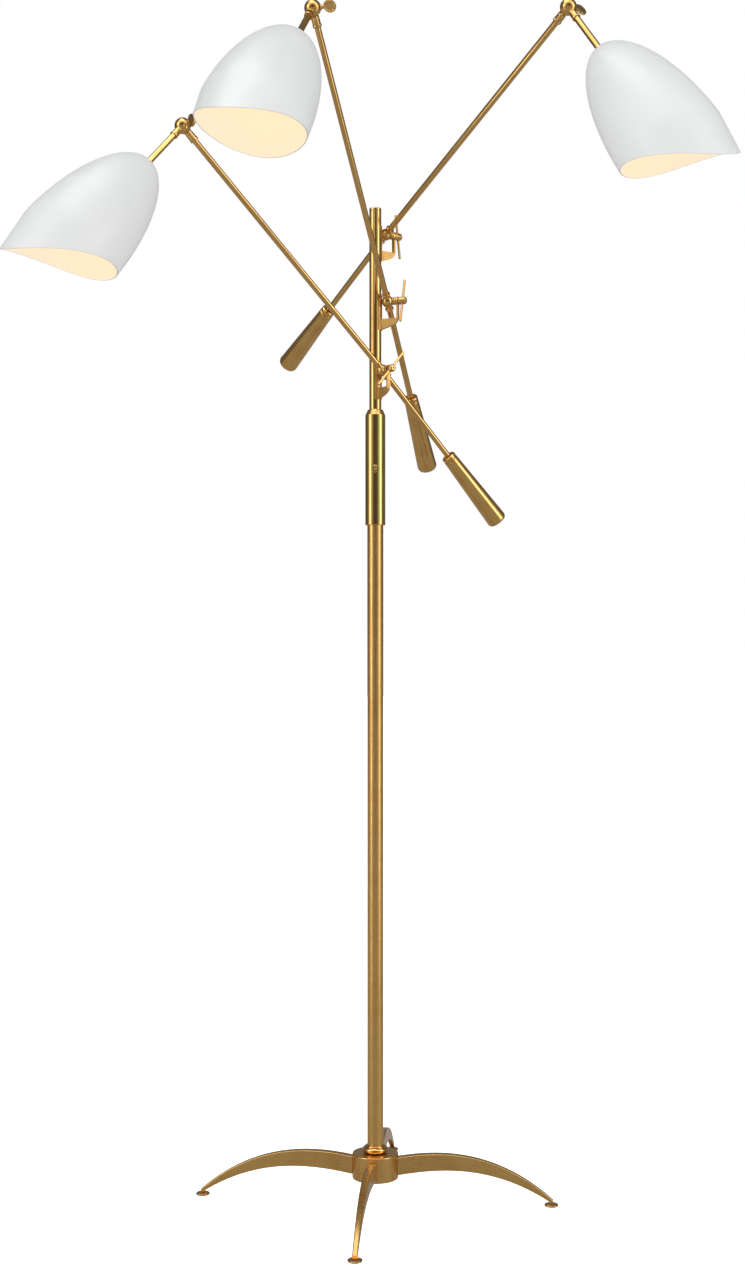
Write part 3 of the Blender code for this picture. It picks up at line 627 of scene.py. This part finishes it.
def make_arm(name, arm, balance):
    body = f"{name}_arm"
    neck = math.degrees(math.acos(COLLAR_RADIUS / KNUCKLE_RADIUS))
    lower_socket = SOCKET_RADIUS + 0.0005
    lip = COLLAR_RADIUS + 0.0006
    knuckle_outline = [
        (0, -KNUCKLE_BORE),
        (lower_socket, -KNUCKLE_BORE),
        (lower_socket, -COLLAR_END),
        (lip, -COLLAR_END),
        (lip, -COLLAR_END + 0.0024),
        (COLLAR_RADIUS - 0.0005, -COLLAR_END + 0.0030),
        (COLLAR_RADIUS - 0.0005, -0.0078),
        *arc((0, 0), KNUCKLE_RADIUS, -neck + 6, neck - 6, 14),
        (COLLAR_RADIUS - 0.0005, 0.0078),
        (COLLAR_RADIUS - 0.0005, COLLAR_END - 0.0030),
        (lip, COLLAR_END - 0.0024),
        (lip, COLLAR_END),
        (SOCKET_RADIUS, COLLAR_END),
        (SOCKET_RADIUS, KNUCKLE_BORE),
        (0, KNUCKLE_BORE),
    ]
    knuckle = piece(f"{name}_knuckle_ball", lathe(soften(knuckle_outline, 0.0004), 48), arm)
    combine(knuckle, rod(PIN_RADIUS + GAP, -0.0080, 0.02, SMALL, Z_TO_X), "DIFFERENCE")
    dress(knuckle, body, brass_turned, "antique_brass", f"{name}_knuckle", sharp=38)

    length = (Vector(JOINTS[f"{name}_head_tilt"]["pos_m"]) - arm.translation).length
    start, end = KNUCKLE_BORE + GAP, length - ARM_NECK_BORE - GAP
    inner = TUBE_RADIUS - TUBE_WALL
    tube = [(inner, start), (TUBE_RADIUS, start), (TUBE_RADIUS, end), (inner, end)]
    turned(f"{name}_arm_tube_brass", tube, arm, body, brass_tube, f"{name}_arm_tube", 0.0002)

    near = WEIGHT_END - WEIGHT_LENGTH
    socket = near + WEIGHT_SOCKET
    shaft = [(0, GAP - socket), (TUBE_RADIUS, GAP - socket), (TUBE_RADIUS, -start - GAP), (0, -start - GAP)]
    turned(f"{name}_weight_rod_brass", shaft, balance, body, brass_tube, f"{name}_weight_rod", 0.0002)
    weight = [
        (0, -WEIGHT_END),
        (0.0128, -WEIGHT_END),
        (0.0150, 0.0010 - WEIGHT_END),
        (0.01625, 0.0042 - WEIGHT_END),
        (0.01160, -near - 0.0092),
        (0.01140, -near - 0.0085),
        (0.01020, -near - 0.0080),
        (0.01020, -near - 0.0067),
        (0.01145, -near - 0.0062),
        (0.01145, -near - 0.0016),
        (0.00980, -near),
        (SOCKET_RADIUS + 0.0012, -near),
        (SOCKET_RADIUS + 0.0007, -near - 0.0020),
        (SOCKET_RADIUS, -near - 0.0024),
        (SOCKET_RADIUS, -socket),
        (0, -socket),
    ]
    turned(f"{name}_counterweight_brass", weight, balance, body, brass_weight, f"{name}_counterweight",
           0.0005, FINE)


# ---------------------------------------------------------------- heads
def half_ball(name, frame_matrix, side, neck_outline):
    """Half of the split ball with its neck, which clears the other half."""
    points = arc((0, 0), BALL_RADIUS, -90, 90, 28)
    points[0], points[-1] = (0, -BALL_RADIUS), (0, BALL_RADIUS)
    half = piece(name, lathe(points, 56, Z_TO_X), frame_matrix)
    combine(half, lathe(soften(neck_outline, 0.0004), 48), "UNION")
    reach = BALL_RADIUS + HALF_CLEARANCE
    other = [
        (0, -side * SEAM),
        (reach, -side * SEAM),
        *arc((0, 0), reach, 0, side * 90, 16)[1:-1],
        (0, side * reach),
    ]
    combine(half, lathe(other, 56, Z_TO_X), "DIFFERENCE")
    hole = (-0.0085, 0.02) if side > 0 else (-0.02, 0.02)
    combine(half, rod(PIN_RADIUS + 0.0005, *hole, 32, Z_TO_X), "DIFFERENCE")
    return half


def make_joint(name, wrist, head, paddle_normal):
    arm_neck = [
        (0, -0.0060),
        (0, -ARM_NECK_BORE),
        (SOCKET_RADIUS, -ARM_NECK_BORE),
        (SOCKET_RADIUS, -ARM_NECK_END),
        (0.0064, -ARM_NECK_END),
        (0.0066, -ARM_NECK_END + 0.0030),
        (0.0060, -ARM_NECK_END + 0.0036),
        (0.0060, -0.0150),
        (0.0056, -0.0140),
        (0.0060, -0.0060),
    ]
    arm_half = half_ball(f"{name}_ball_lower", wrist, 1, arm_neck)
    dress(arm_half, f"{name}_arm", brass_turned, "antique_brass", f"{name}_ball_arm_half", sharp=38)
    head_neck = [
        (0, 0.0060),
        (0, HEAD_NECK_BORE),
        (SOCKET_RADIUS, HEAD_NECK_BORE),
        (SOCKET_RADIUS, HEAD_NECK_END),
        (0.0060, HEAD_NECK_END),
        (0.0062, HEAD_NECK_END - 0.0024),
        (0.0055, HEAD_NECK_END - 0.0030),
        (0.0055, 0.0142),
        (0.0049, 0.0134),
        (0.0056, 0.0060),
    ]
    head_half = half_ball(f"{name}_ball_upper", head, -1, head_neck)
    dress(head_half, f"{name}_head", brass_turned, "antique_brass", f"{name}_ball_head_half", sharp=38)

    turn = basis(wrist.translation, wrist.to_3x3().col[0], paddle_normal)
    shank = [
        (0, -0.0080),
        (PIN_RADIUS, -0.0080),
        (PIN_RADIUS, BALL_RADIUS + GAP),
        (0.0040, BALL_RADIUS + GAP),
        (0.0036, BALL_RADIUS + 0.0016),
        (0.0026, BALL_RADIUS + 0.0024),
        (0.0027, 0.0190),
        (0, 0.0190),
    ]
    wing = piece(f"{name}_wing_thumb_screw", lathe(soften(shank, 0.0005), 36), turn)
    radius, half_thick = PADDLE_RADIUS, PADDLE_HALF_THICKNESS
    dish = [
        (0, -half_thick + 0.0004),
        (radius * 0.62, -half_thick + 0.0004),
        (radius * 0.80, -half_thick),
        (radius, -half_thick),
        (radius, half_thick),
        (radius * 0.80, half_thick),
        (radius * 0.62, half_thick - 0.0004),
        (0, half_thick - 0.0004),
    ]
    combine(wing, lathe(soften(dish, 0.0008), 48, Matrix.Translation((0, 0, PADDLE_AT)) @ Z_TO_X), "UNION")
    dress(wing, f"{name}_wing", brass_turned, "antique_brass", f"{name}_wing_screw", sharp=38)


def shade_radius(distance, inset):
    """The shade's radius at a distance from its top: half an ellipse, then a narrowing skirt."""
    radius, dome = SHADE_RADIUS - inset, DOME_LENGTH - inset
    if distance >= dome:
        return radius - SKIRT_TAPER * (distance - dome)
    return radius * math.sqrt(1 - (1 - distance / dome) ** 2)


def shade_rings(inset, hole, segments, steps):
    """Rings of (radius, distance) pairs of one surface, from the hole at the top to the oblique mouth."""
    radius, dome = SHADE_RADIUS - inset, DOME_LENGTH - inset
    first = dome * (1 - math.sqrt(1 - (hole / radius) ** 2))
    edges = []
    for i in range(segments):
        side = math.sin(2 * math.pi * i / segments)
        middle = SHADE_LENGTH - inset + MOUTH_HOLLOW * side * side
        edge = middle
        for _ in range(8):  # the cut meets the surface where this settles
            edge = middle + MOUTH_SLOPE * side * shade_radius(edge, inset)
        edges.append(edge)
    rings = []
    for step in range(steps + 1):
        share = (step / steps) ** 1.5  # closer together near the top, where the dome curves most
        distances = [first + (edge - first) * share for edge in edges]
        rings.append([(shade_radius(distance, inset), distance) for distance in distances])
    return rings


def make_shade(name, shade_frame):
    """The spun shade: white outside, cream inside, with a small rolled rim."""
    segments, steps = 96, 44
    hole = TUBE_RADIUS + 0.0004
    outer = shade_rings(0.0, hole, segments, steps)
    inner = shade_rings(SHADE_WALL, hole, segments, steps)
    shape = bmesh.new()

    def loop(ring, inset):
        verts = []
        for i, (across, distance) in enumerate(ring):
            angle = 2 * math.pi * i / segments
            point = Vector((across * math.cos(angle), across * math.sin(angle), distance + inset))
            verts.append(shape.verts.new(shade_frame @ point))
        return verts

    middle = []
    for (wide, low), (narrow, high) in zip(outer[-1], inner[-1]):
        middle.append(((wide + narrow) / 2, (low + high + SHADE_WALL) / 2 + 0.0003))
    loops = [loop(r, 0.0) for r in outer] + [loop(middle, 0.0)] + [loop(r, SHADE_WALL) for r in inner[::-1]]
    for row, (first, second) in enumerate(zip(loops, loops[1:] + loops[:1])):
        for i in range(segments):
            j = (i + 1) % segments
            face = shape.faces.new((first[i], first[j], second[j], second[i]))
            # material 0 on the outside, 2 on the two rows round the rim (the grey of painted shade), 1 inside
            face.material_index = 0 if row < steps else 2 if row < steps + 2 else 1
    obj = piece(f"{name}_shade_shell", shape, Matrix.Identity(4))
    for material in (shade_white, shade_cream_and_lamplight, shade_rim_painted_shade):
        obj.data.materials.append(material)
    dress(obj, f"{name}_shade", shade_white, "white_enamel", f"{name}_shade", sharp=60)


def make_head(name, head, shade_frame):
    body = f"{name}_head"
    shade_top = (shade_frame.translation - head.translation).length
    inner = TUBE_RADIUS - TUBE_WALL
    start, end = HEAD_NECK_BORE + GAP, shade_top + 0.014
    stem = [(inner, start), (TUBE_RADIUS, start), (TUBE_RADIUS, end), (inner, end)]
    turned(f"{name}_stem_brass", stem, head, body, brass_tube, f"{name}_stem", 0.0002)
    cap_top, floor, cup_end = (shade_top + part for part in (HOLDER_TOP, HOLDER_FLOOR, HOLDER_END))
    cup_top, groove = shade_top + 0.0170, cup_end - 0.009
    holder = [
        (SOCKET_RADIUS, cap_top),
        (0.0085, cap_top),
        (0.0100, cap_top + 0.006),
        (HOLDER_RADIUS - 0.0007, cup_top),
        (HOLDER_RADIUS, cup_top + 0.002),
        (HOLDER_RADIUS, groove),
        (HOLDER_RADIUS - 0.0006, groove + 0.0005),
        (HOLDER_RADIUS - 0.0006, groove + 0.0015),
        (HOLDER_RADIUS, groove + 0.002),
        (HOLDER_RADIUS, cup_end),
        (0.0142, cup_end),
        (0.0142, floor),
        (SOCKET_RADIUS, floor),
    ]
    cup = piece(f"{name}_holder_cup", lathe(soften(holder, 0.0008), SMALL), head)
    dress(cup, body, holder_cream, "cream_holder", f"{name}_lamp_holder")
    neck, wall, base = BULB_NECK, BULB_WALL, floor + 0.003
    bulb_end = shade_top + BULB_END
    centre = (0, bulb_end - BULB_RADIUS)
    bulb = [
        (neck, base),
        (neck, cup_end),
        (neck + 0.0035, cup_end + 0.006),
        *arc(centre, BULB_RADIUS, -45, 90, 24)[:-1],
        (0, bulb_end),
        (0, bulb_end - wall),
        *arc(centre, BULB_RADIUS - wall, 90, -45, 24)[1:],
        (neck + 0.0035 - wall, cup_end + 0.006),
        (neck - wall, cup_end),
        (neck - wall, base),
    ]
    globe = piece(f"{name}_bulb_globe", lathe(bulb, 48), head)
    dress(globe, body, bulb_opal, "opal_glass", f"{name}_bulb")


def make_arms():
    for name in ARMS:
        tilt, bend, spin = (JOINTS[f"{name}_{kind}"] for kind in ("arm_tilt", "head_tilt", "shade_turn"))
        pivot, wrist_at, shade_at = (Vector(joint["pos_m"]) for joint in (tilt, bend, spin))
        axis, hinge, stem = (Vector(joint["axis"]) for joint in (tilt, bend, spin))
        along = wrist_at - pivot
        seat_origin = Vector((*COLUMN, pivot.z))
        seat = Matrix.Translation(seat_origin) @ Matrix.Rotation(math.atan2(axis.y, axis.x), 4, "Z")
        arm = basis(pivot, along, axis)
        weight_middle = Vector(vertices_from(f"{name}_counterweight", pivot).mean(axis=0))
        balance = basis(pivot, -weight_middle, axis)
        wrist = basis(wrist_at, along, hinge)
        head = basis(wrist_at, stem, hinge)
        shade_points = vertices_from(f"{name}_shade", shade_at)
        distances = shade_points @ np.array(stem)
        long_side = Vector(shade_points[distances > distances.max() - 0.002].mean(axis=0))
        shade_frame = basis(shade_at, stem, long_side.cross(stem))
        make_bracket(name, seat)
        make_clamp(name, seat, spread_direction(f"{name}_t_handle", pivot, axis, 0.0200))
        make_arm(name, arm, balance)
        beyond = BALL_RADIUS + 0.006
        make_joint(name, wrist, head, spread_direction(f"{name}_wing_screw", wrist_at, hinge, beyond, False))
        make_shade(name, shade_frame)
        make_head(name, head, shade_frame)


# ---------------------------------------------------------------- studio
def area_light(name, location, target, width, height, radiance, colour=(1.0, 1.0, 1.0)):
    """A softbox that faces target, of this radiance."""
    light = bpy.data.lights.new(name, "AREA")
    light.shape, light.size, light.size_y = "RECTANGLE", width, height
    light.energy = radiance * math.pi * width * height
    light.color = colour
    obj = bpy.data.objects.new(name, light)
    bpy.context.scene.collection.objects.link(obj)
    obj.location = location
    obj.rotation_euler = (Vector(target) - Vector(location)).to_track_quat("-Z", "Y").to_euler()
    obj.visible_diffuse = False  # the white surroundings light the paint; the boxes only shine in the metal


def make_world():
    """White to the camera and on paint. In metal: bright sides, a dark front and back, a dimmer foot."""
    world = bpy.data.worlds.new("studio")
    bpy.context.scene.world = world
    world.use_nodes = True
    tree = world.node_tree
    background = tree.nodes["Background"]
    background.inputs["Color"].default_value = (1.0, 1.0, 1.0, 1.0)
    coordinates = tree.nodes.new("ShaderNodeTexCoord")
    split = tree.nodes.new("ShaderNodeSeparateXYZ")
    tree.links.new(coordinates.outputs["Generated"], split.inputs["Vector"])
    ramps = []
    for axis, stops in (("Y", ROOM_FRONT_TO_BACK), ("Z", ROOM_FOOT_TO_TOP)):
        share = tree.nodes.new("ShaderNodeMapRange")
        share.inputs["From Min"].default_value = -1.0
        tree.links.new(split.outputs[axis], share.inputs["Value"])
        ramp = tree.nodes.new("ShaderNodeValToRGB")
        elements = ramp.color_ramp.elements
        while len(elements) < len(stops):
            elements.new(0.5)
        for element, (place, level) in zip(elements, stops):
            element.position = place
            element.color = (level, level, level, 1.0)
        tree.links.new(share.outputs["Result"], ramp.inputs["Fac"])
        ramps.append(ramp)
    room = tree.nodes.new("ShaderNodeMath")
    room.operation = "MULTIPLY"
    tree.links.new(ramps[0].outputs["Color"], room.inputs[0])
    tree.links.new(ramps[1].outputs["Color"], room.inputs[1])
    path = tree.nodes.new("ShaderNodeLightPath")
    glossy = tree.nodes.new("ShaderNodeMix")
    glossy.inputs["A"].default_value = 1.0
    tree.links.new(path.outputs["Is Glossy Ray"], glossy.inputs["Factor"])
    tree.links.new(room.outputs["Value"], glossy.inputs["B"])
    seen = tree.nodes.new("ShaderNodeMix")
    seen.inputs["B"].default_value = 1.0
    tree.links.new(path.outputs["Is Camera Ray"], seen.inputs["Factor"])
    tree.links.new(glossy.outputs["Result"], seen.inputs["A"])
    tree.links.new(seen.outputs["Result"], background.inputs["Strength"])


def make_floor():
    """A pale floor that meets the white background without an edge."""
    shape = bmesh.new()
    bmesh.ops.create_grid(shape, x_segments=24, y_segments=24, size=FLOOR_SIZE / 2)
    floor = bpy.data.objects.new("studio_floor", mesh_of("studio_floor", shape))
    bpy.context.scene.collection.objects.link(floor)
    floor.location = (*COLUMN, 0)
    nodes = Nodes("pale_floor")
    grain = nodes.noise(3.0, 3.0)
    path = nodes.add("ShaderNodeLightPath")
    pale = nodes.mix(nodes.remap(grain, 0.0, 1.0), (0.82, 0.82, 0.82), (0.79, 0.79, 0.79))
    nodes.set(
        Base_Color=nodes.mix(path.outputs["Is Glossy Ray"], pale, (FLOOR_IN_METAL,) * 3),
        Roughness=0.85,
        Emission_Color=(1.0, 1.0, 1.0, 1.0),
    )
    nodes.set(Emission_Strength=nodes.remap(path.outputs["Is Camera Ray"], 0.0, FLOOR_GLOW, 0.0, 1.0))
    floor.data.materials.append(nodes.material)


def make_camera():
    camera = bpy.data.cameras.new("camera")
    camera.lens, camera.sensor_width = CAMERA_LENS, 36.0
    camera.shift_x, camera.shift_y = CAMERA_SHIFT
    camera.clip_start, camera.clip_end = 0.05, 200.0
    obj = bpy.data.objects.new("camera", camera)
    bpy.context.scene.collection.objects.link(obj)
    obj.location = (COLUMN.x, COLUMN.y - CAMERA_DISTANCE, CAMERA_HEIGHT)
    obj.rotation_euler = (math.pi / 2, 0, 0)
    bpy.context.scene.camera = obj


def make_studio():
    x, y = COLUMN
    area_light("left_softbox", (x - 2.0, y - 1.2, 1.3), (x, y, 1.3), 0.35, 2.6, 2.4, WARM_WHITE)
    area_light("right_softbox", (x + 2.1, y - 1.0, 1.3), (x, y, 1.3), 0.55, 2.6, 1.8, WARM_WHITE)
    area_light("top_softbox", (x - 0.4, y - 0.5, 3.4), (x, y, 1.0), 1.4, 0.9, 2.2)
    make_world()
    make_floor()
    make_camera()
    bpy.context.scene.view_settings.view_transform = "Standard"


# ---------------------------------------------------------------- the whole scene
def keep_cad_nodes():
    """The small CAD nodes whose shape is right get a better material."""
    for name, material in (("tie_bolt", brass_turned), ("cord_gland", nylon), ("guide_bush", nylon)):
        for material_slot in frame["nodes"][name].material_slots:
            material_slot.material = material


make_stand()
make_arms()
keep_cad_nodes()
make_studio()
